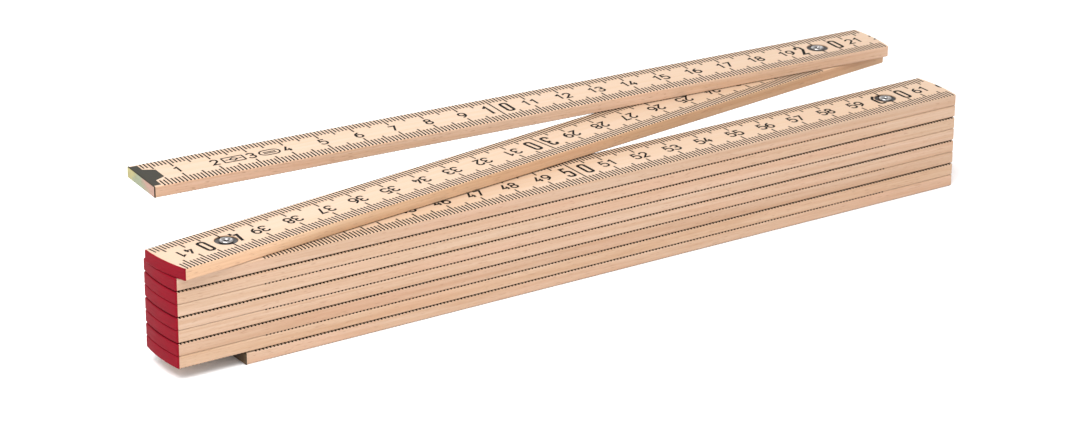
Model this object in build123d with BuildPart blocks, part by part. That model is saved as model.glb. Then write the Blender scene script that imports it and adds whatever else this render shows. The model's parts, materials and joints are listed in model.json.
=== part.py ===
"""A two metre folding rule: ten wooden limbs, joined end to end by nine riveted spring joints.

Folded, the limbs lie one above the other like a flat stack of slats. Limb 1, the top one, carries
the scale from 0 to 20 cm, and limb 10, the bottom one, ends at 200 cm. Every limb is pinned to the
next one down, by turns at the right and at the left, so all the joint axes stand upright.

Frame: millimetres, +Z up, the limbs along X. The origin is in the underside of limb 10, which is
what the rule rests on, midway between its joint axis and its free end. At rest limbs 3 to 10 are
folded shut, and limbs 1 and 2 are swung a little way open.
"""
from build123d import *
from math import cos, radians, sin
import os

# Scale and layout
LIMB_COUNT = 10
JOINT_PITCH = 200.0          # from one joint axis to the next along a limb
CM_PER_LIMB = 20
REST_OPENING = {20: 11.55, 40: 7.83}   # degrees from shut at rest, by the joint's mark in cm

# Wooden limb
LIMB_WIDTH = 16.0
LIMB_THICKNESS = 3.0
LIMB_GAP = 0.3               # air between two folded limbs
OVERHANG = 18.7              # from a joint axis to the tip of the limb past it
END_BOW = 0.7                # how far the rounded end stands out beyond its own corners
CORNER_RADIUS = 0.5
EDGE_RADIUS = 0.35

# Tubular joint rivet: a rolled head on top, a flared tail below
SHANK_RADIUS = 1.35
RIVET_BORE_RADIUS = 0.65
RUNNING_CLEARANCE = 0.05     # radial, between the shank and what turns on it
HEAD_RADIUS = 1.75
HEAD_PROUD = 0.22            # head above the limb's face, less than the gap
HEAD_ROLL_DEPTH = 0.35       # how far the rolled head dips into the rivet's bore
TAIL_RADIUS = 1.9
TAIL_THICKNESS = 0.27
TAIL_INSET = 0.08            # tail above the underside of its limb
TAIL_FLARE = 0.3

# Washers under the rivet's head and tail, let into the wood
WASHER_RADIUS = 2.85
WASHER_POCKET_RADIUS = 2.95
SPRING_WASHER_POCKET = 0.42
SPRING_WASHER_RIM = 0.24     # thickness at the rim of the dished washer
SPRING_WASHER_CENTRE = 0.16
BACK_WASHER_POCKET = 0.55
BACK_WASHER_THICKNESS = 0.2
HEAD_PLAY = 0.03             # under the rivet's head, so that the joint turns

# Steel hinge plates between the two limbs of a joint
PLATE_THICKNESS = 0.3
PLATE_SUNK = 0.17            # depth of the plate's bed in the wood
PLATE_DISC_RADIUS = 5.5
PLATE_ARM_LENGTH = 13.0      # with its round end it stays hidden under the other limb
PLATE_ARM_WIDTH = 7.0
CLAW_LENGTH = 3.2            # across the limb
CLAW_WIDTH = 0.3
CLAW_DEPTH = 1.1
CLAW_SPOTS = (8.0, 13.5)     # from the joint axis, along the plate's arm

# Pressed steel cap over each free end
CAP_THICKNESS = 0.35
CAP_STRIP = 2.3              # depth of the strip across the whole end
CAP_STRIP_WIDTH = 14.6
CAP_TONGUE_ROOT = 8.2        # the tongue tapers from this width
CAP_TONGUE_TIP = 5.2         # to this one
CAP_TONGUE_END = 5.2         # from the end of the rule to the tip of the tongue
CAP_STRIP_CORNER = 0.9
CAP_BEND_RADIUS = 0.3

# Derived
LAYER = LIMB_THICKNESS + LIMB_GAP
HALF_PITCH = JOINT_PITCH / 2
HALF_WIDTH = LIMB_WIDTH / 2
TIP = HALF_PITCH + OVERHANG
END_CORNER = TIP - END_BOW
PLATE_PROUD = PLATE_THICKNESS - PLATE_SUNK
TURNING_RADIUS = SHANK_RADIUS + RUNNING_CLEARANCE
JOINTS = range(1, LIMB_COUNT)          # joint n pins limb n on top of limb n + 1
END_LIMBS = (1, LIMB_COUNT)


def mark(joint):
    """Where a joint is on the scale, in cm."""
    return CM_PER_LIMB * joint


def side(joint):
    """+1 for a joint at the right, -1 for one at the left. They alternate down the stack."""
    return 1 if joint % 2 else -1


def limb_planes():
    """The plane of each limb's underside at rest: X along the limb, origin halfway along it.

    Walking up from the bottom limb, each joint turns the limb above it by that joint's opening."""
    planes = {LIMB_COUNT: Plane.XY}
    heading = 0.0
    for joint in reversed(JOINTS):
        below = planes[joint + 1]
        pivot = below.from_local_coords(Vector(side(joint) * HALF_PITCH, 0, LAYER))
        heading -= side(joint) * REST_OPENING.get(mark(joint), 0)
        along = Vector(cos(radians(heading)), sin(radians(heading)), 0)
        middle = pivot - along * (side(joint) * HALF_PITCH)
        planes[joint] = Plane(origin=middle, x_dir=along, z_dir=(0, 0, 1))
    return planes


UNDERSIDE = limb_planes()


def face_up(limb):
    """The plane of a limb's upper face."""
    return UNDERSIDE[limb].offset(LIMB_THICKNESS)


def face_down(limb):
    """The plane of a limb's underside, looking down out of the wood."""
    plane = UNDERSIDE[limb]
    return Plane(origin=plane.origin, x_dir=plane.x_dir, z_dir=(0, 0, -1))


def pivot_point(joint, height=0.0):
    """A point on a joint's axis, by its height above the underside of the joint's upper limb."""
    return UNDERSIDE[joint].from_local_coords(Vector(side(joint) * HALF_PITCH, 0, height))


def section_plane(joint, height=0.0):
    """An upright plane through a joint's axis, for profiles that are turned about it."""
    return Plane(origin=pivot_point(joint, height), x_dir=(1, 0, 0), z_dir=(0, -1, 0))


def save(part, name):
    part.label = name
    export_step(part, f"parts/{name}.step")


def limb_outline(capped):
    """The limb seen from above. Both ends are bowed, except that a capped end is cut square."""
    left = -HALF_PITCH + CAP_THICKNESS if capped else -END_CORNER
    with BuildLine() as rim:
        Line((left, -HALF_WIDTH), (END_CORNER, -HALF_WIDTH))
        ThreePointArc((END_CORNER, -HALF_WIDTH), (TIP, 0), (END_CORNER, HALF_WIDTH))
        Line((END_CORNER, HALF_WIDTH), (left, HALF_WIDTH))
        if capped:
            Line((left, HALF_WIDTH), (left, -HALF_WIDTH))
        else:
            ThreePointArc((left, HALF_WIDTH), (-TIP, 0), (left, -HALF_WIDTH))
    make_face(rim.edges())


def plate_outline(joint):
    """A hinge plate: a disc about the joint axis, with an arm towards the middle of the limb."""
    axis_x = side(joint) * HALF_PITCH
    arm_x = axis_x - side(joint) * PLATE_ARM_LENGTH / 2
    with Locations((axis_x, 0)):
        Circle(PLATE_DISC_RADIUS)
    with Locations((arm_x, 0)):
        SlotCenterToCenter(PLATE_ARM_LENGTH, PLATE_ARM_WIDTH)


def claw_outlines(joint):
    """The two claws that are bent out of a hinge plate's arm into the wood."""
    for spot in CLAW_SPOTS:
        with Locations((side(joint) * (HALF_PITCH - spot), 0)):
            Rectangle(CLAW_WIDTH, CLAW_LENGTH)


def cap_strip_outline():
    """The strip of a cap that lies on the limb's face along its square end."""
    with Locations((-HALF_PITCH + CAP_STRIP / 2, 0)):
        Rectangle(CAP_STRIP, CAP_STRIP_WIDTH)


def cap_tongue_outline():
    """The tapered tongue that runs on from the strip, along the middle of the limb."""
    root_x = -HALF_PITCH + CAP_STRIP
    tip_x = -HALF_PITCH + CAP_TONGUE_END
    with BuildLine() as rim:
        Polyline(
            (root_x, -CAP_TONGUE_ROOT / 2),
            (tip_x, -CAP_TONGUE_TIP / 2),
            (tip_x, CAP_TONGUE_TIP / 2),
            (root_x, CAP_TONGUE_ROOT / 2),
            close=True,
        )
    make_face(rim.edges())


def make_limb(limb):
    """One wooden limb, with its bores, washer pockets, plate beds and, at a free end, cap beds."""
    capped = limb in END_LIMBS
    along = Axis(UNDERSIDE[limb].origin, UNDERSIDE[limb].x_dir)
    with BuildPart() as wood:
        with BuildSketch(UNDERSIDE[limb]) as outline:
            limb_outline(capped)
            corners = outline.vertices().sort_by(Axis.X)
            fillet(corners[2:] if capped else corners, CORNER_RADIUS)
        extrude(amount=LIMB_THICKNESS)
        for face in (wood.faces().sort_by(Axis.Z)[0], wood.faces().sort_by(Axis.Z)[-1]):
            rim = face.edges().sort_by(along)
            fillet(rim[1:] if capped else rim, EDGE_RADIUS)
        if limb in JOINTS:
            hang_on_lower_limb(limb)
        if limb - 1 in JOINTS:
            carry_upper_limb(limb)
        if capped:
            bed_cap(limb)
    save(wood.part, f"limb_{limb:02d}")


def hang_on_lower_limb(limb):
    """Cuts for the joint by which a limb turns on the one below it."""
    joint = limb
    with Locations(face_up(limb)):
        with Locations((side(joint) * HALF_PITCH, 0)):
            CounterBoreHole(TURNING_RADIUS, WASHER_POCKET_RADIUS, SPRING_WASHER_POCKET)
    bed_plate(joint, face_down(limb))


def carry_upper_limb(limb):
    """Cuts for the joint by which a limb carries the one above it."""
    joint = limb - 1
    with Locations(face_down(limb)):
        with Locations((side(joint) * HALF_PITCH, 0)):
            CounterBoreHole(SHANK_RADIUS, WASHER_POCKET_RADIUS, BACK_WASHER_POCKET)
    bed_plate(joint, face_up(limb))


def bed_plate(joint, plane):
    """The bed of a hinge plate in the face that meets the other limb, and slits for its claws."""
    with BuildSketch(plane) as bed:
        plate_outline(joint)
    extrude(bed.sketch, amount=-PLATE_SUNK, mode=Mode.SUBTRACT)
    with BuildSketch(plane) as slits:
        claw_outlines(joint)
    extrude(slits.sketch, amount=-PLATE_SUNK - CLAW_DEPTH, mode=Mode.SUBTRACT)


def bed_cap(limb):
    """The shallow beds, on both faces, that let a cap lie flush with the wood."""
    for plane in (face_up(limb), face_down(limb)):
        with BuildSketch(plane) as bed:
            cap_strip_outline()
            cap_tongue_outline()
        extrude(bed.sketch, amount=-CAP_THICKNESS, mode=Mode.SUBTRACT)


def make_cap(limb, name):
    """A pressed steel cap: a plate across the end of the wood, with a strip and tongue on each face."""
    along = Axis(UNDERSIDE[limb].origin, UNDERSIDE[limb].x_dir)
    with BuildPart() as cap:
        with BuildSketch(UNDERSIDE[limb]):
            with Locations((-HALF_PITCH + CAP_THICKNESS / 2, 0)):
                Rectangle(CAP_THICKNESS, LIMB_WIDTH)
        extrude(amount=LIMB_THICKNESS)
        for plane in (face_up(limb), face_down(limb)):
            with BuildSketch(plane):
                cap_strip_outline()
                cap_tongue_outline()
            extrude(amount=-CAP_THICKNESS)
        end_face = cap.faces().sort_by(along)[0]
        fillet(end_face.edges().filter_by(Axis.Z, reverse=True), CAP_BEND_RADIUS)
    save(cap.part, name)


def make_upper_plate(joint):
    """The hinge plate let into the underside of a joint's upper limb."""
    with BuildPart() as plate:
        with BuildSketch(face_down(joint).offset(PLATE_PROUD)):
            plate_outline(joint)
        extrude(amount=-PLATE_THICKNESS)
        with BuildSketch(face_down(joint).offset(-PLATE_SUNK)):
            claw_outlines(joint)
        extrude(amount=-CLAW_DEPTH)
        with Locations(Plane(origin=pivot_point(joint), z_dir=(0, 0, 1))):
            Hole(TURNING_RADIUS)
    save(plate.part, f"upper_hinge_plate_{mark(joint):03d}")


def make_lower_plate(joint):
    """The hinge plate let into the top of a joint's lower limb."""
    with BuildPart() as plate:
        with BuildSketch(face_up(joint + 1).offset(PLATE_PROUD)):
            plate_outline(joint)
        extrude(amount=-PLATE_THICKNESS)
        with BuildSketch(face_up(joint + 1).offset(-PLATE_SUNK)):
            claw_outlines(joint)
        extrude(amount=-CLAW_DEPTH)
        with Locations(Plane(origin=pivot_point(joint), z_dir=(0, 0, 1))):
            Hole(SHANK_RADIUS)
    save(plate.part, f"lower_hinge_plate_{mark(joint):03d}")


def make_spring_washer(joint):
    """The dished round washer on top of the joint, around the rivet's head."""
    seat = LIMB_THICKNESS - SPRING_WASHER_POCKET
    with BuildPart() as washer:
        with BuildSketch(section_plane(joint, seat)):
            with BuildLine():
                Polyline(
                    (TURNING_RADIUS, 0),
                    (WASHER_RADIUS, 0),
                    (WASHER_RADIUS, SPRING_WASHER_RIM),
                    (TURNING_RADIUS, SPRING_WASHER_CENTRE),
                    close=True,
                )
            make_face()
        revolve(axis=Axis(pivot_point(joint), (0, 0, 1)))
        fillet(washer.edges().sort_by(Axis.Z)[-1], SPRING_WASHER_CENTRE / 2)
    save(washer.part, f"spring_washer_{mark(joint):03d}")


def make_back_washer(joint):
    """The flat washer under the joint, against which the rivet's tail is flared."""
    bed = BACK_WASHER_POCKET - LAYER
    with BuildPart() as washer:
        with BuildSketch(section_plane(joint, bed)):
            with Locations(((SHANK_RADIUS + WASHER_RADIUS) / 2, -BACK_WASHER_THICKNESS / 2)):
                Rectangle(WASHER_RADIUS - SHANK_RADIUS, BACK_WASHER_THICKNESS)
        revolve(axis=Axis(pivot_point(joint), (0, 0, 1)))
    save(washer.part, f"back_washer_{mark(joint):03d}")


def make_rivet(joint):
    """The tubular rivet. It is fast in the lower limb, and the upper limb turns on its shank."""
    tail = TAIL_INSET - LAYER
    head_seat = LIMB_THICKNESS - SPRING_WASHER_POCKET + SPRING_WASHER_RIM + HEAD_PLAY
    top = LIMB_THICKNESS + HEAD_PROUD
    crown = (RIVET_BORE_RADIUS + HEAD_RADIUS) / 2
    with BuildPart() as rivet:
        with BuildSketch(section_plane(joint)):
            with BuildLine():
                Polyline(
                    (RIVET_BORE_RADIUS, top - HEAD_ROLL_DEPTH),
                    (RIVET_BORE_RADIUS, tail + TAIL_FLARE),
                    (RIVET_BORE_RADIUS + TAIL_FLARE, tail),
                    (TAIL_RADIUS, tail),
                    (TAIL_RADIUS, tail + TAIL_THICKNESS),
                    (SHANK_RADIUS, tail + TAIL_THICKNESS),
                    (SHANK_RADIUS, head_seat),
                    (HEAD_RADIUS, head_seat),
                )
                TangentArc((HEAD_RADIUS, head_seat), (crown, top), tangent=(0, 1))
                RadiusArc((crown, top), (RIVET_BORE_RADIUS, top - HEAD_ROLL_DEPTH), -2 * HEAD_ROLL_DEPTH)
            make_face()
        revolve(axis=Axis(pivot_point(joint), (0, 0, 1)))
    save(rivet.part, f"joint_rivet_{mark(joint):03d}")


os.makedirs("parts", exist_ok=True)

for limb in range(1, LIMB_COUNT + 1):
    make_limb(limb)

make_cap(1, "zero_end_cap")
make_cap(LIMB_COUNT, "two_metre_end_cap")

for joint in JOINTS:
    make_upper_plate(joint)
    make_lower_plate(joint)
    make_spring_washer(joint)
    make_back_washer(joint)
    make_rivet(joint)
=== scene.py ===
"""Looks of a two metre folding rule: lacquered wood, printed scale, red tips, zinc and steel.

Blender works in metres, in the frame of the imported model. The sizes named below are in
millimetres, and are turned into metres where a vertex or a node is made.

Each limb is described along its scale: u runs along it from the joint (or end) where its numbers
start, at -100, to the one where they end, at +100, and v runs across it.
"""

import json
from math import acos, atan2, cos, radians, sin, tan

import bmesh
import bpy
from mathutils import Matrix, Vector


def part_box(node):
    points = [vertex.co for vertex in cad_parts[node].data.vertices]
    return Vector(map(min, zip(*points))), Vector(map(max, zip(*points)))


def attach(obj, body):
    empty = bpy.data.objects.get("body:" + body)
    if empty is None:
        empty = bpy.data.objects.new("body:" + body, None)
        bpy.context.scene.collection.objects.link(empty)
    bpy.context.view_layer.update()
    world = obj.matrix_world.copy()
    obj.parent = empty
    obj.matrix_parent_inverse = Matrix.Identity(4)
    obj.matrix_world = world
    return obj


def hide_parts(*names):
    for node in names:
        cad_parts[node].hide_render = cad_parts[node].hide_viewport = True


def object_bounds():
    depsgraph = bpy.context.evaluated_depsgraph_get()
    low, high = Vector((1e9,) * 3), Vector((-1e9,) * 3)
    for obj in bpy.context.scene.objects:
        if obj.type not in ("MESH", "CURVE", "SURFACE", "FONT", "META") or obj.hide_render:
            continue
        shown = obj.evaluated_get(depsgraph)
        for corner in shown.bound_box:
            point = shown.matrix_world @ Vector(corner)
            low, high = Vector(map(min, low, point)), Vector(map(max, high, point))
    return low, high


MM = 0.001
UP = Vector((0, 0, 1))

# The rule
LIMBS = range(1, 11)
CM_PER_LIMB = 20
HALF_PITCH = 100.0         # from the middle of a limb to its joint axis
HALF_WIDTH = 8.0
HALF_THICKNESS = 1.5
EDGE_RADIUS = 0.35         # of the long edges
CORNER_RADIUS = 0.5        # of the corners, seen from above
TIP = 118.7                # from the middle of a limb to its tip, past the joint
TIP_BOW = 0.7              # how far a tip stands out beyond its own corners

# Folded limbs lie close together at their common joint and further apart at the other end
SETTLE = 0.13              # how far the wood swells towards the joint's other limb
REST_INSET = 0.02          # the lowest face, behind the CAD face, leaves room for its print
STATION = 8.0              # spacing of the cross sections in the wood
SHARP_ANGLE = 40           # degrees
FLAT = 0.999               # a face squarer than this to an axis is shaded flat
MERGE = 0.0005             # vertices closer than this are one

# Red paint on the left tips of limbs 2 to 9
PAINTED_LIMBS = range(2, 10)
PAINT_THICKNESS = 0.03
PAINT_PROUD = 0.01
PAINT_ROOM = 0.015         # the wood under the paint is drawn in by this much
PAINT_REACH = 1.4          # from the tip, into the narrow gaps of the lower limbs
PAINT_FACING = 0.08        # painted where the surface faces outward by at least this cosine
CREPT_FACING = 0.99        # and, below the top painted limb, up or down by this one

# Printed scale
INK_PROUD = 0.012          # above the wood
INK_SUNK = 0.02            # and below it, so that no gap shows
INK_LEVEL = 0.001          # between strokes that cross
TICK_WIDTH = 0.44
TICK_MM = 3.4              # lengths from the edge of the limb
TICK_5_MM = 4.7
TICK_CM = 5.4
TICK_BY_PLATE = 4.3        # beside the hinge plate's arm
PLATE_END = -83.0          # where that arm ends
TICK_SHORTEST = 0.3        # a tick cut shorter than this by the tip is left out
PRINT_STEP = 0.15          # how finely a stroke is cut where part of it is left out
POCKET_RADIUS = 3.1        # nothing is printed over a rivet's washer
WRAP_ANGLES = (0, 18, 36, 54)  # degrees, over which ticks run down the rounded edge
SCALE_START = -94          # past the hinge plate's disc
SCALE_START_AT_CAP = -97
SCALE_END = 117
SCALE_END_AT_CAP = 97

# Numbers: half the width and the height of a digit's centre line, the stroke, and the rounding
SMALL_DIGIT = {"half": 0.88, "height": 3.2, "stroke": 0.57, "round": 1.0}
BIG_DIGIT = {"half": 0.88, "height": 5.5, "stroke": 0.8, "round": 0.8}
DIGIT_PITCH = 2.45
DECADE_PITCH = 2.5
ARC_STEP = radians(24)     # how finely a rounded corner is cut
POINT_GAP = 0.02           # points of a stroke closer than this are one
MITRE_LIMIT = 0.45         # cosine of half a turn: at sharper ones a line gets no wider
ARC_ROOM = 0.5             # the share of a side that an arc takes up, beside another arc
ARC_ROOM_ALONE = 0.96      # and beside a sharp corner

# Every digit as strokes (closed, corners). A corner is (x, y, rounding): x from -1 to 1 across
# the digit, y from 0 at its foot to 1 at its head, and rounding a share of half its width.
SIX = (
    (True, ((-1, 0, 1), (1, 0, 1), (1, 0.6, 1), (-1, 0.6, 1))),
    (False, ((-1, 0.3, 0), (-1, 0.7, 1.4), (0.55, 1, 0))),
)
DIGITS = {
    "0": ((True, ((-1, 0, 1), (1, 0, 1), (1, 1, 1), (-1, 1, 1))),),
    "1": ((False, ((-0.7, 0.79, 0), (0.3, 1, 0), (0.3, 0, 0))),),
    "2": ((False, ((-0.95, 0.74, 0), (-0.95, 1, 1), (0.95, 1, 1), (0.95, 0.6, 0.6), (-1, 0, 0),
                   (1, 0, 0))),),
    "3": ((False, ((-0.95, 0.8, 0), (-0.95, 1, 1), (0.9, 1, 0.9), (0.9, 0.54, 0.9),
                   (-0.35, 0.54, 0))),
          (False, ((-0.35, 0.54, 0), (1, 0.54, 1), (1, 0, 1), (-1, 0, 1), (-1, 0.22, 0)))),
    "4": ((False, ((0.2, 1, 0), (-1, 0.27, 0), (1, 0.27, 0))),
          (False, ((0.45, 0.56, 0), (0.45, 0, 0)))),
    "5": ((False, ((0.85, 1, 0), (-0.75, 1, 0), (-0.9, 0.55, 0), (-0.5, 0.63, 0.4),
                   (1, 0.63, 1), (1, 0, 1), (-1, 0, 1), (-1, 0.2, 0))),),
    "6": SIX,
    "7": ((False, ((-1, 1, 0), (1, 1, 0), (-0.35, 0, 0))),),
    "8": ((True, ((-0.85, 0.54, 1), (0.85, 0.54, 1), (0.85, 1, 1), (-0.85, 1, 1))),
          (True, ((-1, 0, 1), (1, 0, 1), (1, 0.54, 1), (-1, 0.54, 1)))),
    "9": tuple((closed, tuple((-x, 1 - y, rounding) for x, y, rounding in corners))
               for closed, corners in SIX),
}

# Two plain marks between the first numbers, as corners (u, v, radius) in millimetres
FIRST_MARKS = (
    (25.1, (
        (True, ((-2.8, -1.6, 0.2), (2.8, -1.6, 0.2), (2.8, 1.6, 0.2), (-2.8, 1.6, 0.2))),
        (True, ((-1.1, 0, 0), (0, -0.9, 0), (1.1, 0, 0), (0, 0.9, 0))),
        (False, ((-2.2, 0, 0), (-1.5, 0, 0))),
        (False, ((1.5, 0, 0), (2.2, 0, 0))),
    )),
    (35.0, (
        (True, ((-2.75, -1.6, 1.6), (2.75, -1.6, 1.6), (2.75, 1.6, 1.6), (-2.75, 1.6, 1.6))),
        (False, ((-1.7, 0.35, 0), (1.7, 0.35, 0))),
        (False, ((-1.7, -0.45, 0), (1.7, -0.45, 0))),
    )),
)
MARK_STROKE = 0.48

# Where the digits of a decade stand, from its line: mid-limb, or around a joint rivet
MID_DECADE = {"last_tens": -2.4, "zero": 3.1}
RIVET_DECADE = {"last_tens": -4.8, "zero": 5.9}
RIVET_TENS = {2: -5.2, 4: -3.1, 6: -2.7}
AFTER_RIVET_SHIFT = 1.9    # of the first number past the rivet; the tip cuts off the second one

# Wood tones, limb by limb, as factors on the base colour of the sides; on limbs 1 and 2 they are also painted
# light, brightening their sides (and warming limb 2's) beyond their wood's own tone
WOOD = (0.50, 0.355, 0.253)
WOOD_TONES_AND_PAINTED_LIGHT = {1: (1.25, 1.25, 1.28), 2: (1.2, 1.12, 0.98), 3: (0.96, 0.95, 0.95),
              4: (1.0, 0.98, 0.97), 5: (1.02, 1.03, 1.04), 6: (1.02, 1.02, 1.04),
              7: (1.0, 0.98, 0.97), 8: (0.93, 0.88, 0.85), 9: (0.99, 0.95, 0.9),
              10: (1.0, 0.98, 0.97)}
LACQUER = (0.54, 0.39, 0.28)   # the broad faces, the same on every limb

# What the grain makes of the wood, as factors on the colour under it
WOOD_STREAK = (0.86, 0.76, 0.66)
WOOD_CLOUD = (1.02, 0.84, 0.8)
WOOD_FIBRE = (0.78, 0.66, 0.55)
WOOD_FLECK = (0.62, 0.48, 0.38)
LACQUER_STREAK = (0.97, 0.92, 0.85)
LACQUER_FIBRE = (0.93, 0.86, 0.77)

# Paint, ink and metal
RED = (0.208, 0.0055, 0.0138)
RED_IN_SAW_MARKS = (0.16, 0.0037, 0.011)
RED_CLOUDED = (0.222, 0.0064, 0.0156)
INK = (0.011, 0.009, 0.008, 1.0)
ZINC_YELLOW = (0.48, 0.44, 0.19)
ZINC_GREEN = (0.33, 0.37, 0.24)
ZINC_ROSE = (0.50, 0.31, 0.24)
ZINC_DULL = (0.24, 0.23, 0.15)
ZINC_OLIVE = (0.017, 0.015, 0.010)
ZINC_OLIVE_WORN = (0.041, 0.037, 0.024)
# Factors on the cap colours: the zero cap's is its tone; the two-metre cap's is painted shade, darkening it as if
# in the shadow under the overhanging limbs
ZERO_CAP_TONE = (0.84, 0.82, 0.84)
TWO_METRE_CAP_PAINTED_SHADE = (0.24, 0.17, 0.22)

# Steels: the bright and the dull colour, the roughness, and how softly the colours meet
HINGE_STEEL = ((0.58, 0.59, 0.6), (0.4, 0.4, 0.41), 0.34, 0.2)
WASHER_STEEL = ((0.04, 0.036, 0.035), (0.014, 0.012, 0.012), 0.36, 0.15)
BACK_WASHER_STEEL = ((0.3, 0.29, 0.28), (0.17, 0.16, 0.155), 0.38, 0.15)
RIVET_STEEL = ((0.48, 0.465, 0.46), (0.2, 0.19, 0.19), 0.18, 0.15)

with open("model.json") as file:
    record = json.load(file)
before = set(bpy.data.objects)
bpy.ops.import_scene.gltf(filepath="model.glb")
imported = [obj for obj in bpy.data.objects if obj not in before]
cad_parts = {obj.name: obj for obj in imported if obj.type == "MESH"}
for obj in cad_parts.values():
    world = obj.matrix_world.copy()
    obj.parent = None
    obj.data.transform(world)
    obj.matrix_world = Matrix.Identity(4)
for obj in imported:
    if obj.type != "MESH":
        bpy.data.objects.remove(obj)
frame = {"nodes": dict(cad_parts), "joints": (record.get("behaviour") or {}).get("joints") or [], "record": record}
cad_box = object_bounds()
joint_places = {joint["name"]: Vector(joint["pos_m"]) for joint in frame["joints"]}
mount_places = {mount["name"]: Vector(mount["pos_m"]) for mount in frame["record"]["mounts"]}


# ---------------------------------------------------------------- places on the limbs

def joint_name(number):
    """The joint by which a limb hangs on the one below it."""
    return f"joint_{CM_PER_LIMB * number:03d}"


class Limb:
    """Where a limb lies in the model's frame."""

    def __init__(self, number):
        self.number = number
        self.name = f"limb_{number:02d}"
        self.body = f"section_{number:02d}"
        first = number == LIMBS[0]
        last = number == LIMBS[-1]
        start = mount_places["zero_end_face"] if first else joint_places[joint_name(number - 1)]
        end = mount_places["two_metre_end_face"] if last else joint_places[joint_name(number)]
        low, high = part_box(self.name)
        self.middle = (start + end) / 2
        self.middle.z = (low.z + high.z) / 2
        self.along = (end - start) * Vector((1, 1, 0))
        self.along.normalize()
        self.across = UP.cross(self.along)
        self.leftward = self.along if self.along.x < 0 else -self.along

    def heading(self):
        return atan2(self.along.y, self.along.x)


class Face:
    """The upper or lower printed face of a limb, with its own stretch of the scale.

    The lower faces carry the same scale backwards: the rule reads from either end."""

    def __init__(self, limb, top):
        self.limb = limb
        self.top = top
        self.stretch = limb.number if top else LIMBS[-1] + 1 - limb.number
        self.first_cm = CM_PER_LIMB * (self.stretch - 1)
        self.normal = UP if top else -UP
        self.reading = limb.along if top else -limb.along
        self.ends_in_paint = (limb.number in PAINTED_LIMBS
                              and self.reading.dot(limb.leftward) > 0)

    def skin(self, u):
        """Height of the wood above the CAD face, in millimetres."""
        if self.stretch > 1:
            share = (HALF_PITCH - u) / (2 * HALF_PITCH)
            return SETTLE * min(1.0, max(0.0, share))
        return 0.0 if self.top else -REST_INSET

    def printable(self, u, v):
        """Whether ink can lie there: not over a rivet's washer, nor past the rounded tip."""
        past_tip = u > TIP - EDGE_RADIUS - TIP_BOW * (v / HALF_WIDTH) ** 2
        over_washer = (u - HALF_PITCH) ** 2 + v ** 2 < POCKET_RADIUS ** 2
        return not past_tip and not over_washer

    def point(self, u, v, height):
        """A point above the wood, as a vector in metres."""
        rise = HALF_THICKNESS + self.skin(u) + height
        offset = self.reading * u + self.limb.across * v + self.normal * rise
        return self.limb.middle + offset * MM


limbs = {number: Limb(number) for number in LIMBS}


# ---------------------------------------------------------------- materials

class Graph:
    """A node material in the making."""

    def __init__(self, name):
        self.material = bpy.data.materials.new(name)
        self.material.use_nodes = True
        self.tree = self.material.node_tree
        self.tree.nodes.clear()
        output = self.tree.nodes.new("ShaderNodeOutputMaterial")
        self.shader = self.tree.nodes.new("ShaderNodeBsdfPrincipled")
        self.tree.links.new(self.shader.outputs[0], output.inputs["Surface"])

    def set(self, **values):
        """Shader sockets, with _ for a space: a constant or a node's output."""
        for name, value in values.items():
            self.plug(self.shader.inputs[name.replace("_", " ")], value)

    def plug(self, socket, value):
        if isinstance(value, bpy.types.NodeSocket):
            self.tree.links.new(value, socket)
        else:
            socket.default_value = value

    def node(self, kind, *inputs, output=0, **settings):
        """A node with its inputs in order, None to leave one alone. Gives one of its outputs."""
        made = self.tree.nodes.new("ShaderNode" + kind)
        for name, value in settings.items():
            setattr(made, name, value)
        for socket, value in zip(made.inputs, inputs):
            if value is not None:
                self.plug(socket, value)
        return made.outputs[output]

    def coordinates(self, middle=(0, 0, 0), turn=0.0):
        """Object coordinates in millimetres, from a middle point and turned about Z."""
        place = self.node("TexCoord", output=3)
        return self.node("Mapping", place, tuple(middle), (0, 0, turn), (MM, MM, MM),
                         vector_type="TEXTURE")

    def stretched(self, vector, scale, turn=(0, 0, 0), shift=(0, 0, 0)):
        return self.node("Mapping", vector, shift, turn, scale)

    def noise(self, vector, scale=1.0, detail=2.0, roughness=0.5, distortion=0.0):
        made = self.tree.nodes.new("ShaderNodeTexNoise")
        self.plug(made.inputs["Vector"], vector)
        made.inputs["Scale"].default_value = scale
        made.inputs["Detail"].default_value = detail
        made.inputs["Roughness"].default_value = roughness
        made.inputs["Distortion"].default_value = distortion
        return made.outputs[0]

    def between(self, value, low, high, out_low=0.0, out_high=1.0):
        """Maps a value's low to high range onto another one, clamped."""
        return self.node("MapRange", value, low, high, out_low, out_high)

    def math(self, operation, first, second=0.0):
        return self.node("Math", first, second, operation=operation)

    def mix(self, factor, first, second):
        """Mixes two colours."""
        made = self.tree.nodes.new("ShaderNodeMix")
        made.data_type = "RGBA"
        self.plug(made.inputs[0], factor)
        for socket, value in ((made.inputs[6], first), (made.inputs[7], second)):
            if isinstance(value, tuple) and len(value) == 3:
                value = (*value, 1.0)
            self.plug(socket, value)
        return made.outputs[2]

    def bump(self, height, strength, distance):
        made = self.tree.nodes.new("ShaderNodeBump")
        made.inputs["Strength"].default_value = strength
        made.inputs["Distance"].default_value = distance * MM
        self.plug(made.inputs["Height"], height)
        return made.outputs[0]

    def upright(self):
        """How far the surface faces up or down, from 0 on the sides to 1."""
        normal = self.node("TexCoord", output=1)
        z = self.node("SeparateXYZ", normal, output=2)
        return self.math("ABSOLUTE", z)

    def facing(self, heading):
        """1 where the surface faces along a heading or against it, 0 on all the other sides."""
        normal = self.node("TexCoord", output=1)
        turned = self.node("Mapping", normal, None, (0, 0, -heading), None, vector_type="VECTOR")
        x = self.node("SeparateXYZ", turned, output=0)
        return self.between(self.math("ABSOLUTE", x), 0.75, 0.95)


def tinted(colour, tone):
    return tuple(c * t for c, t in zip(colour, tone))


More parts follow.
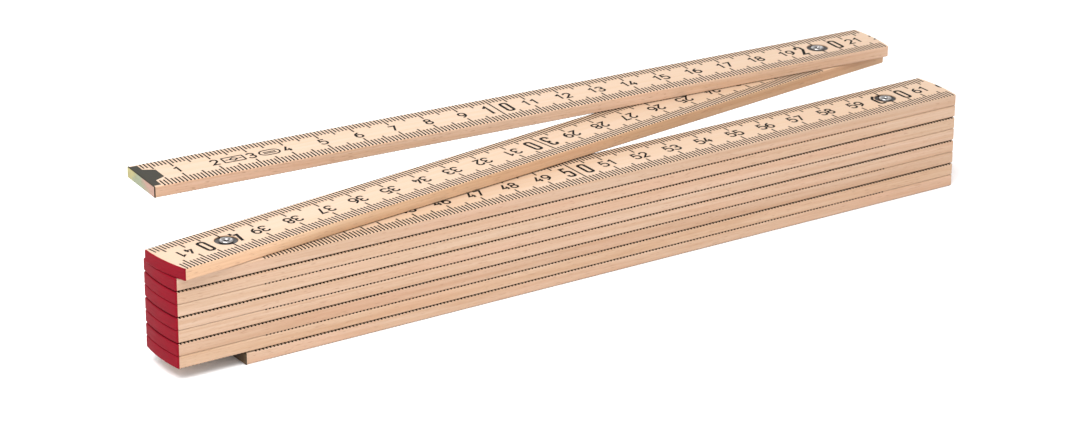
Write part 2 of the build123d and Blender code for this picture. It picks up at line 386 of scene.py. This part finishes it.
def make_wood(limb):
    """Pale beech: long straight fibres, soft streaks and short flecks, under satin lacquer."""
    graph = Graph(f"wood_{limb.number:02d}")
    # on limbs 1 and 2 this factor paints light onto the sides, brighter than the wood's own tone
    wood = tinted(WOOD, WOOD_TONES_AND_PAINTED_LIGHT[limb.number])
    place = graph.coordinates(limb.middle, limb.heading())
    slope = (0, radians(0.5 * (-1) ** limb.number), radians(1.1 - 0.3 * limb.number))
    grain = graph.stretched(place, (1, 1, 1), slope, (37.0 * limb.number, 11.0 * limb.number, 0))
    streaks = graph.noise(graph.stretched(grain, (0.012, 0.8, 0.8)), detail=4, roughness=0.6,
                          distortion=0.25)
    fibres = graph.noise(graph.stretched(grain, (0.07, 5.0, 5.0)), detail=3, roughness=0.65)
    clouds = graph.noise(graph.stretched(grain, (0.02, 0.12, 0.12)), detail=2)
    flecks = graph.noise(graph.stretched(grain, (0.45, 3.6, 3.6)), detail=1, roughness=0.4)

    flat = graph.between(graph.upright(), 0.55, 0.9)
    side_colour = graph.mix(graph.between(streaks, 0.34, 0.68), wood, tinted(wood, WOOD_STREAK))
    side_colour = graph.mix(graph.between(clouds, 0.45, 0.75, 0.0, 0.5), side_colour,
                            tinted(wood, WOOD_CLOUD))
    side_colour = graph.mix(graph.between(fibres, 0.42, 0.72, 0.0, 0.35), side_colour,
                            tinted(WOOD, WOOD_FIBRE))
    side_colour = graph.mix(graph.between(flecks, 0.64, 0.72, 0.0, 0.45), side_colour,
                            tinted(WOOD, WOOD_FLECK))
    top_colour = graph.mix(graph.between(streaks, 0.36, 0.66), LACQUER,
                           tinted(LACQUER, LACQUER_STREAK))
    top_colour = graph.mix(graph.between(fibres, 0.45, 0.75, 0.0, 0.3), top_colour,
                           tinted(LACQUER, LACQUER_FIBRE))
    colour = graph.mix(flat, side_colour, top_colour)

    bare = graph.between(fibres, 0.3, 0.7, 0.5, 0.62)
    roughness = graph.math("SUBTRACT", bare, graph.math("MULTIPLY", flat, 0.14))
    relief = graph.math("MULTIPLY", fibres, graph.between(flat, 0.0, 1.0, 1.0, 0.25))
    graph.set(Base_Color=colour, Roughness=roughness, Specular_IOR_Level=0.4,
              Normal=graph.bump(relief, 0.35, 0.06))
    return graph.material


def make_red_paint():
    """Red paint on sawn end grain: the saw's marks show through it."""
    graph = Graph("red_paint")
    place = graph.coordinates()
    marks = graph.noise(graph.stretched(place, (1, 0.25, 5.0), (radians(12), 0, 0)), detail=3)
    clouds = graph.noise(graph.stretched(place, (0.3, 0.3, 0.3)), detail=2)
    colour = graph.mix(graph.between(marks, 0.35, 0.7), RED, RED_IN_SAW_MARKS)
    colour = graph.mix(graph.between(clouds, 0.4, 0.7, 0.0, 0.6), colour, RED_CLOUDED)
    graph.set(Base_Color=colour, Roughness=graph.between(clouds, 0.3, 0.7, 0.5, 0.62),
              Specular_IOR_Level=0.04, Normal=graph.bump(marks, 0.4, 0.04))
    return graph.material


def make_ink():
    """Printed black-brown ink, a little uneven in its gloss."""
    graph = Graph("scale_ink")
    place = graph.coordinates()
    graph.set(Base_Color=INK, Specular_IOR_Level=0.04,
              Roughness=graph.between(graph.noise(place, 0.8), 0.3, 0.7, 0.55, 0.7))
    return graph.material


def make_yellow_zinc(limb, tone):
    """Yellow passivated zinc: olive, and shimmering from yellow to green and rose on the end."""
    graph = Graph(f"yellow_zinc_{limb.number:02d}")
    place = graph.coordinates(limb.middle, limb.heading())
    clouds = graph.noise(graph.stretched(place, (0.3, 0.17, 0.3)), detail=2)
    marks = graph.noise(graph.stretched(place, (2.5, 0.5, 1.5)), detail=4, roughness=0.7)
    # tone scales the plated colours; the two-metre cap's dark factor is painted shade
    yellow, green, rose, dull = (tinted(colour, tone) for colour in
                                 (ZINC_YELLOW, ZINC_GREEN, ZINC_ROSE, ZINC_DULL))
    across = graph.node("SeparateXYZ", place, output=1)
    bands = graph.math("ADD", across, graph.between(clouds, 0.3, 0.7, -5.0, 5.0))
    hue = graph.mix(graph.between(bands, 1.0, 5.0), green, yellow)
    hue = graph.mix(graph.between(bands, -0.5, -4.5), hue, rose)
    hue = graph.mix(graph.between(marks, 0.45, 0.7, 0.0, 0.3), hue, dull)
    olive = graph.mix(graph.between(marks, 0.38, 0.66), ZINC_OLIVE, ZINC_OLIVE_WORN)
    graph.set(Base_Color=graph.mix(graph.facing(limb.heading()), olive, hue), Metallic=0.3,
              Specular_IOR_Level=0.08, Roughness=graph.between(marks, 0.3, 0.7, 0.42, 0.58),
              Normal=graph.bump(marks, 0.25, 0.03))
    return graph.material


def make_steel(name, bright, dull, roughness, softness):
    """Pressed steel, dull in some patches and brighter in others, where it is rubbed."""
    graph = Graph(name)
    place = graph.coordinates()
    marks = graph.noise(graph.stretched(place, (1.2, 1.2, 1.2)), detail=4, roughness=0.7)
    fine = graph.noise(graph.stretched(place, (6, 6, 6)), detail=3)
    colour = graph.mix(graph.between(marks, 0.5 - softness, 0.5 + softness), bright, dull)
    graph.set(Base_Color=colour, Metallic=1.0,
              Roughness=graph.between(fine, 0.3, 0.7, roughness - 0.06, roughness + 0.08),
              Normal=graph.bump(fine, 0.15, 0.02))
    return graph.material


# ---------------------------------------------------------------- meshes

def add_piece(name, mesh, material, body):
    mesh.materials.clear()
    mesh.materials.append(material)
    piece = bpy.data.objects.new(name, mesh)
    bpy.context.scene.collection.objects.link(piece)
    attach(piece, body)
    return piece


def shade(mesh, limb):
    """Smooth shading on a limb's rounded edges and tips: its long flat faces stay flat."""
    mesh.attributes.remove(mesh.attributes["custom_normal"])
    mesh.set_sharp_from_angle(angle=radians(SHARP_ANGLE))
    for polygon in mesh.polygons:
        squareness = max(abs(polygon.normal.z), abs(polygon.normal.dot(limb.across)))
        polygon.use_smooth = squareness < FLAT


def weight_normals(piece):
    """Keeps the shading of the large flat faces flat beside their rounded edges."""
    modifier = piece.modifiers.new("Flat faces", "WEIGHTED_NORMAL")
    modifier.keep_sharp = True
    modifier.weight = 100


def wood_mesh(limb):
    """The limb's CAD shape, cut into short stretches and swollen towards its neighbours."""
    faces = {True: Face(limb, True), False: Face(limb, False)}
    wood = bmesh.new()
    wood.from_mesh(frame["nodes"][limb.name].data)
    bmesh.ops.remove_doubles(wood, verts=wood.verts, dist=MERGE * MM)
    count = int(TIP / STATION)
    stations = [station * STATION for station in range(-count, count + 1)]
    if limb.number in PAINTED_LIMBS:
        stations.append(TIP - PAINT_REACH)
    for station in stations:
        bmesh.ops.bisect_plane(
            wood,
            geom=wood.verts[:] + wood.edges[:] + wood.faces[:],
            plane_co=limb.middle + limb.leftward * station * MM,
            plane_no=limb.leftward,
        )
    for vertex in wood.verts:
        place = (vertex.co - limb.middle) / MM
        u = place.dot(limb.along)
        face = faces[place.z > 0]
        reading_u = u if face.top else -u
        share = min(1.0, abs(place.z) / (HALF_THICKNESS - EDGE_RADIUS))
        vertex.co += face.normal * face.skin(reading_u) * share * MM
        if limb.number in PAINTED_LIMBS and place.dot(limb.leftward) > TIP - PAINT_REACH - MERGE:
            outward = limb.leftward + limb.across * place.dot(limb.across) / HALF_WIDTH
            vertex.co -= outward * PAINT_ROOM * MM
    return wood


def add_limb(limb):
    wood = wood_mesh(limb)
    mesh = bpy.data.meshes.new(f"{limb.name}_wood")
    wood.to_mesh(mesh)
    wood.free()
    shade(mesh, limb)
    piece = add_piece(f"{limb.name}_wood", mesh, make_wood(limb), limb.body)
    weight_normals(piece)
    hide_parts(limb.name)


def add_red_tip(limb, material):
    """A coat of paint over the left tip's end face."""
    paint = wood_mesh(limb)
    paint.normal_update()
    bare = []
    for face in paint.faces:
        reach = (face.calc_center_median() - limb.middle).dot(limb.leftward) / MM
        crept = limb.number > PAINTED_LIMBS[0] and abs(face.normal.z) > CREPT_FACING
        painted = crept or face.normal.dot(limb.leftward) > PAINT_FACING
        if reach < TIP - PAINT_REACH or not painted:
            bare.append(face)
    bmesh.ops.delete(paint, geom=bare, context="FACES")
    mesh = bpy.data.meshes.new(f"red_tip_{limb.number:02d}")
    paint.to_mesh(mesh)
    paint.free()
    shade(mesh, limb)
    piece = add_piece(mesh.name, mesh, material, limb.body)
    coat = piece.modifiers.new("Coat", "SOLIDIFY")
    coat.thickness = PAINT_THICKNESS * MM
    coat.offset = 2 * PAINT_PROUD / PAINT_THICKNESS - 1
    weight_normals(piece)


# ---------------------------------------------------------------- print

class Print:
    """Closed strips of ink on a limb's faces, gathered into one mesh."""

    def __init__(self):
        self.points = []
        self.polygons = []

    def strip(self, sections, closed=False):
        """Joins sections of four points each into one closed solid."""
        base = len(self.points)
        count = len(sections)
        for section in sections:
            self.points.extend(section)
        for i in range(count if closed else count - 1):
            here = base + 4 * i
            there = base + 4 * ((i + 1) % count)
            for k in range(4):
                turn = (k + 1) % 4
                self.polygons.append((here + k, here + turn, there + turn, there + k))
        if not closed:
            last = base + 4 * (count - 1)
            self.polygons.append((base + 3, base + 2, base + 1, base))
            self.polygons.append((last, last + 1, last + 2, last + 3))

    def edge_profile(self, side, reach):
        """A tick's line from its inner end to the limb's edge and over it: v, height and lean."""
        profile = [(side * (HALF_WIDTH - reach), 0.0, 0.0)]
        for angle in WRAP_ANGLES:
            lean = radians(angle)
            v = HALF_WIDTH - EDGE_RADIUS + EDGE_RADIUS * sin(lean)
            profile.append((side * v, EDGE_RADIUS * (cos(lean) - 1), side * lean))
        return profile

    def profile_strip(self, face, u, profile):
        half = TICK_WIDTH / 2
        sections = []
        for v, height, lean in profile:
            section = []
            for du, lift in ((-half, INK_PROUD), (half, INK_PROUD), (half, -INK_SUNK),
                             (-half, -INK_SUNK)):
                section.append(face.point(u + du, v + lift * sin(lean), height + lift * cos(lean)))
            sections.append(section)
        self.strip(sections)

    def tick(self, face, u, reach):
        """A tick from each edge, as far as the limb's bowed end leaves room."""
        room = TIP - EDGE_RADIUS - u
        start = HALF_WIDTH - EDGE_RADIUS
        if room < TIP_BOW:
            start = min(start, HALF_WIDTH * (room / TIP_BOW) ** 0.5)
        for side in (-1, 1):
            if room > TIP_BOW + CORNER_RADIUS:
                self.profile_strip(face, u, self.edge_profile(side, reach))
            elif start > HALF_WIDTH - reach + TICK_SHORTEST:
                inner = (side * (HALF_WIDTH - reach), 0.0, 0.0)
                self.profile_strip(face, u, [inner, (side * start, 0.0, 0.0)])

    def full_line(self, face, u):
        across = self.edge_profile(-1, HALF_WIDTH)[:0:-1] + self.edge_profile(1, HALF_WIDTH)[1:]
        self.profile_strip(face, u, across)

    def stroke(self, face, centre_u, closed, corners, width, level=0):
        """A line of ink along corners (u, v, radius), in a level of its own where lines cross."""
        line = rounded(corners, closed)
        for run_closed, run in printable_runs(face, centre_u, closed, line):
            self.ribbon(face, centre_u, run_closed, run, width, level)

    def ribbon(self, face, centre_u, closed, line, width, level):
        count = len(line)
        proud = INK_PROUD + INK_LEVEL * level
        sections = []
        for i, here in enumerate(line):
            back = line[i - 1] if closed or i > 0 else None
            ahead = line[(i + 1) % count] if closed or i < count - 1 else None
            into = (here - back).normalized() if back is not None else None
            out = (ahead - here).normalized() if ahead is not None else into
            into = into if into is not None else out
            normal = Vector((-into.y - out.y, into.x + out.x)).normalized()
            spread = width / 2 / max(MITRE_LIMIT, normal.dot(Vector((-into.y, into.x))))
            left, right = here + normal * spread, here - normal * spread
            sections.append([
                face.point(centre_u + left.x, left.y, proud),
                face.point(centre_u + right.x, right.y, proud),
                face.point(centre_u + right.x, right.y, -INK_SUNK),
                face.point(centre_u + left.x, left.y, -INK_SUNK),
            ])
        self.strip(sections, closed)

    def digit(self, face, centre_u, character, style):
        for level, (closed, corners) in enumerate(DIGITS[character]):
            placed = []
            for x, y, rounding in corners:
                radius = rounding * style["round"] * style["half"]
                placed.append((x * style["half"], (y - 0.5) * style["height"], radius))
            self.stroke(face, centre_u, closed, placed, style["stroke"], level)

    def number(self, face, centre_u, value):
        text = str(value)
        for place, character in enumerate(text):
            offset = (place - (len(text) - 1) / 2) * DIGIT_PITCH
            self.digit(face, centre_u + offset, character, SMALL_DIGIT)

    def decade(self, face, u, value, last_tens, zero):
        """A decade's big number, whose digits stand apart around its line or rivet."""
        tens = str(value // 10)
        for place, character in enumerate(reversed(tens)):
            self.digit(face, u + last_tens - place * DECADE_PITCH, character, BIG_DIGIT)
        self.digit(face, u + zero, "0", BIG_DIGIT)

    def mesh(self, name):
        made = bpy.data.meshes.new(name)
        made.from_pydata(self.points, [], self.polygons)
        work = bmesh.new()
        work.from_mesh(made)
        bmesh.ops.recalc_face_normals(work, faces=work.faces)
        work.to_mesh(made)
        work.free()
        return made


def rounded(corners, closed):
    """The points of a line whose corners (x, y, radius) are turned into arcs."""
    count = len(corners)
    line = []
    for i, (x, y, radius) in enumerate(corners):
        here = Vector((x, y))
        if radius == 0 or not closed and i in (0, count - 1):
            line.append(here)
            continue
        before, after = corners[i - 1], corners[(i + 1) % count]
        back, ahead = Vector(before[:2]) - here, Vector(after[:2]) - here
        room = min(side.length * (ARC_ROOM if end[2] else ARC_ROOM_ALONE)
                   for side, end in ((back, before), (ahead, after)))
        half_angle = acos(max(-1.0, min(1.0, back.normalized().dot(ahead.normalized())))) / 2
        reach = min(radius / tan(half_angle), room)
        centre = here + (back.normalized() + ahead.normalized()).normalized() * (
            reach / cos(half_angle))
        first = here + back.normalized() * reach - centre
        last = here + ahead.normalized() * reach - centre
        turn = first.angle_signed(last)
        steps = max(2, round(abs(turn) / ARC_STEP))
        for step in range(steps + 1):
            angle = -turn * step / steps
            spoke = Vector((first.x * cos(angle) - first.y * sin(angle),
                            first.x * sin(angle) + first.y * cos(angle)))
            line.append(centre + spoke)
    tidy = [line[0]]
    for point in line[1:]:
        if (point - tidy[-1]).length > POINT_GAP:
            tidy.append(point)
    if closed and (tidy[0] - tidy[-1]).length < POINT_GAP:
        tidy.pop()
    return tidy


def printable_runs(face, centre_u, closed, line):
    """The stretches of a line that ink can lie on, as (closed, points)."""
    ends = line + [line[0]] if closed else line
    fine = []
    for here, there in zip(ends, ends[1:]):
        steps = max(1, round((there - here).length / PRINT_STEP))
        fine.extend(here.lerp(there, step / steps) for step in range(steps))
    fine.append(ends[-1])
    kept = [face.printable(centre_u + point.x, point.y) for point in fine]
    if all(kept):
        return [(closed, line)]
    runs = [[]]
    for point, keep in zip(fine, kept):
        if keep:
            runs[-1].append(point)
        elif runs[-1]:
            runs.append([])
    if closed and kept[0]:
        runs[0] = runs.pop()[:-1] + runs[0]
    return [(False, run) for run in runs if len(run) > 2]


def print_face(ink, face):
    first = face.stretch == LIMBS[0]
    last = face.stretch == LIMBS[-1]
    start = SCALE_START_AT_CAP if first else SCALE_START
    end = SCALE_END_AT_CAP if last else SCALE_END
    for u in range(start, end + 1):
        if u == 0:
            ink.full_line(face, u)
            continue
        reach = TICK_CM if u % 10 == 0 else TICK_5_MM if u % 5 == 0 else TICK_MM
        if u < PLATE_END and not first:
            reach = min(reach, TICK_BY_PLATE)
        ink.tick(face, u, reach)
    for cm in range(1 if first else 2, CM_PER_LIMB):
        if cm == CM_PER_LIMB // 2:
            ink.decade(face, 0, face.first_cm + cm, **MID_DECADE)
        else:
            ink.number(face, 10 * cm - HALF_PITCH, face.first_cm + cm)
    if first:
        for from_start, strokes in FIRST_MARKS:
            for closed, corners in strokes:
                ink.stroke(face, from_start - HALF_PITCH, closed, corners, MARK_STROKE)
    if not last:
        value = face.first_cm + CM_PER_LIMB
        tens = RIVET_TENS.get(value // 10, RIVET_DECADE["last_tens"])
        ink.decade(face, HALF_PITCH, value, tens, RIVET_DECADE["zero"])
        ink.number(face, HALF_PITCH + 10 + AFTER_RIVET_SHIFT, value + 1)
        if not face.ends_in_paint:
            ink.number(face, HALF_PITCH + 20, value + 2)


def add_print(limb, material):
    ink = Print()
    for top in (True, False):
        print_face(ink, Face(limb, top))
    name = f"scale_print_{limb.number:02d}"
    add_piece(name, ink.mesh(name), material, limb.body)


# ---------------------------------------------------------------- the object

def paint_node(name, material):
    """Gives its material to a CAD node that is shown with its own shape."""
    node = frame["nodes"][name]
    if not node.material_slots:
        node.data.materials.append(material)
    for slot in node.material_slots:
        slot.material = material


ink_material = make_ink()
red_material = make_red_paint()
for limb in limbs.values():
    add_limb(limb)
    add_print(limb, ink_material)
    if limb.number in PAINTED_LIMBS:
        add_red_tip(limb, red_material)

paint_node("zero_end_cap", make_yellow_zinc(limbs[1], ZERO_CAP_TONE))
# the two-metre cap's colours are darkened to about a quarter: painted shade
paint_node("two_metre_end_cap", make_yellow_zinc(limbs[10], TWO_METRE_CAP_PAINTED_SHADE))
hinge_steel = make_steel("hinge_steel", *HINGE_STEEL)
washer_steel = make_steel("washer_steel", *WASHER_STEEL)
back_steel = make_steel("back_washer_steel", *BACK_WASHER_STEEL)
rivet_steel = make_steel("rivet_steel", *RIVET_STEEL)
for number in LIMBS[:-1]:
    mark = f"{CM_PER_LIMB * number:03d}"
    paint_node(f"upper_hinge_plate_{mark}", hinge_steel)
    paint_node(f"lower_hinge_plate_{mark}", hinge_steel)
    paint_node(f"spring_washer_{mark}", washer_steel)
    paint_node(f"back_washer_{mark}", back_steel)
    paint_node(f"joint_rivet_{mark}", rivet_steel)


# ---------------------------------------------------------------- camera, floor and light

CAMERA_PLACE = (-0.46437, -0.67320, 0.34102)   # metres
CAMERA_RIGHT = Vector((0.830856, -0.556437, 0.007485))
CAMERA_DOWN = Vector((-0.202127, -0.314288, -0.927560))
CAMERA_AHEAD = Vector((0.518481, 0.769156, -0.373599))
CAMERA_LENS = 116.09       # mm
CAMERA_SENSOR = 36.0       # mm
CAMERA_CLIP = (0.01, 50.0)

FLOOR_REACH = 3.0          # metres
FLOOR_DROP = 0.02          # millimetres below the object
FLOOR_WHITE = (0.96, 0.96, 0.9696)
FLOOR_MOTTLE = (0.9456, 0.9456, 0.96)
SKY = 1.0                  # strength
WHITE = (1.0, 1.0, 1.0)

# name: azimuth and elevation in degrees, distance and size in metres, power in watts, colour.
# Azimuth 0 is behind the object, along +Y.
SOFTBOXES = {
    "window": (21, 24, 1.5, (0.65, 0.45), 1.2, WHITE),
    "overhead": (240, 60, 0.7, (0.5, 0.5), 5.0, WHITE),
    "front_fill": (195, 15, 1.7, (1.4, 1.0), 3.0, (1.0, 0.99, 0.98)),
}


def add_camera():
    data = bpy.data.cameras.new("camera")
    data.lens = CAMERA_LENS
    data.sensor_width = CAMERA_SENSOR
    data.clip_start, data.clip_end = CAMERA_CLIP
    camera = bpy.data.objects.new("camera", data)
    turn = Matrix((CAMERA_RIGHT, -CAMERA_DOWN, -CAMERA_AHEAD)).transposed()
    camera.matrix_world = Matrix.Translation(CAMERA_PLACE) @ turn.to_4x4()
    bpy.context.scene.collection.objects.link(camera)
    bpy.context.scene.camera = camera


def add_floor():
    """A wide pale table top, a hair below the lowest limb."""
    height = cad_box[0].z - FLOOR_DROP * MM
    corners = [(x * FLOOR_REACH, y * FLOOR_REACH, height)
               for x, y in ((-1, -1), (1, -1), (1, 1), (-1, 1))]
    mesh = bpy.data.meshes.new("floor")
    mesh.from_pydata(corners, [], [(0, 1, 2, 3)])
    graph = Graph("floor_white")
    mottle = graph.noise(graph.coordinates(), 0.01, detail=3)
    shade_of_white = graph.mix(graph.between(mottle, 0.3, 0.7), FLOOR_WHITE, FLOOR_MOTTLE)
    graph.set(Base_Color=shade_of_white, Roughness=0.9, Specular_IOR_Level=0.1)
    mesh.materials.append(graph.material)
    floor = bpy.data.objects.new("floor", mesh)
    bpy.context.scene.collection.objects.link(floor)


def add_softbox(name, azimuth, elevation, distance, size, power, colour):
    """A soft rectangular light aimed at the object."""
    data = bpy.data.lights.new(name, "AREA")
    data.shape = "RECTANGLE"
    data.size, data.size_y = size
    data.energy = power
    data.color = colour
    light = bpy.data.objects.new(name, data)
    a, e = radians(azimuth), radians(elevation)
    towards = Vector((sin(a) * cos(e), cos(a) * cos(e), sin(e)))
    light.location = towards * distance
    light.rotation_euler = towards.to_track_quat("Z", "Y").to_euler()
    bpy.context.scene.collection.objects.link(light)


def add_sky():
    world = bpy.data.worlds.new("studio")
    world.use_nodes = True
    background = world.node_tree.nodes["Background"]
    background.inputs["Color"].default_value = (*WHITE, 1.0)
    background.inputs["Strength"].default_value = SKY
    bpy.context.scene.world = world


add_camera()
add_floor()
add_sky()
for name, settings in SOFTBOXES.items():
    add_softbox(name, *settings)
bpy.context.scene.view_settings.view_transform = "Standard"
